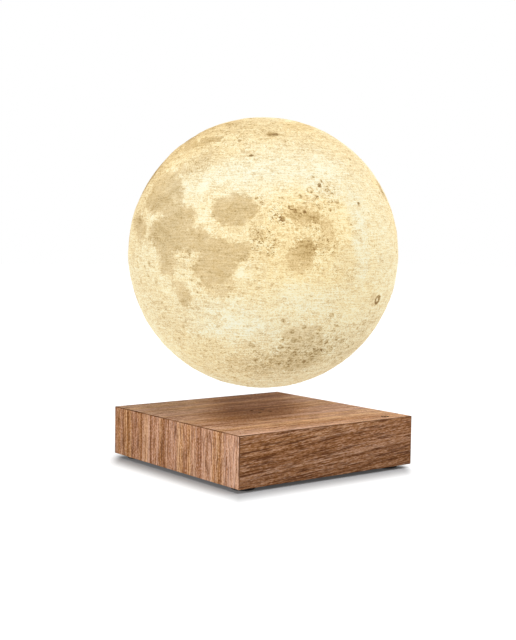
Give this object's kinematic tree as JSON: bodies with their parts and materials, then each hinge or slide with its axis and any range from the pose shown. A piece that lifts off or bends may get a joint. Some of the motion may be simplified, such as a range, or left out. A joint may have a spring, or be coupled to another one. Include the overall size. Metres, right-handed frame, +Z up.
{
  "type": "moon lamp",
  "caption": "Levitating moon lamp: a glowing printed moon globe that floats and spins over a square walnut base with a touch mark.",
  "frame": {"origin": "on the surface that the feet stand on, under the centre of the square base, which is also under the moon's centre", "axes": "+Z up, along the moon's lift and spin axis; -Y is the front, the face next to the touch mark; +Y is the rear, with the power inlet; +X is to the right seen from the front"},
  "size_m": [0.145, 0.145, 0.186],
  "materials": {
    "walnut": "satin",
    "rubber_feet": "matte",
    "black_plastic": "matte",
    "tray_plastic": "matte",
    "screw_steel": "satin",
    "nickel": "polished",
    "core_iron": "satin",
    "ferrite": "matte",
    "copper": "satin",
    "bare_aluminium": "satin",
    "circuit_board": "satin",
    "moon_print": "matte",
    "opal_plastic": "satin",
    "led_window": "gloss"
  },
  "bodies": {
    "base": {"wood_case": "walnut", "foot_front_left": "rubber_feet", "foot_front_right": "rubber_feet", "foot_rear_left": "rubber_feet", "foot_rear_right": "rubber_feet", "bottom_plate": "black_plastic", "power_jack": "black_plastic", "control_chip": "black_plastic", "main_capacitor": "black_plastic", "field_sensor_x": "black_plastic", "field_sensor_y": "black_plastic", "field_sensor_z": "black_plastic", "sensor_plug": "black_plastic", "touch_lead": "black_plastic", "bobbin_right": "black_plastic", "bobbin_rear": "black_plastic", "bobbin_left": "black_plastic", "bobbin_front": "black_plastic", "levitation_tray": "tray_plastic", "case_screw_front_left": "screw_steel", "case_screw_front_right": "screw_steel", "case_screw_rear_left": "screw_steel", "case_screw_rear_right": "screw_steel", "stack_screw_front_left": "screw_steel", "stack_screw_front_right": "screw_steel", "stack_screw_rear_left": "screw_steel", "stack_screw_rear_right": "screw_steel", "jack_pin": "nickel", "core_right": "core_iron", "core_rear": "core_iron", "core_left": "core_iron", "core_front": "core_iron", "ring_magnet": "ferrite", "power_ferrite": "ferrite", "touch_pad": "copper", "power_coil": "copper", "coil_right": "copper", "coil_rear": "copper", "coil_left": "copper", "coil_front": "copper", "heat_sink": "bare_aluminium", "main_board": "circuit_board", "sensor_board": "circuit_board"},
    "float": {"levitation_magnet": "nickel"},
    "moon": {"moon_shell": "moon_print", "moon_cap": "moon_print", "shell_collar": "opal_plastic", "receiver_coil": "copper", "driver_board": "circuit_board", "driver_capacitor": "bare_aluminium", "driver_chip": "black_plastic", "led_post": "bare_aluminium", "led_board": "bare_aluminium", "led_diffuser": "opal_plastic", "led_1": "led_window", "led_2": "led_window", "led_3": "led_window", "led_4": "led_window", "led_5": "led_window", "led_6": "led_window"}
  },
  "joints": [
    {"name": "moon_lift", "type": "slide", "parent": "base", "child": "float", "axis": [0, 0, 1], "range_m": [-0.0127, 0.1], "stiffness_N_per_m": 100, "springref_m": 0.02523},
    {"name": "moon_spin", "type": "hinge", "parent": "float", "child": "moon", "pos_m": [0, 0, 0.1135], "axis": [0, 0, 1], "continuous": true}
  ]
}
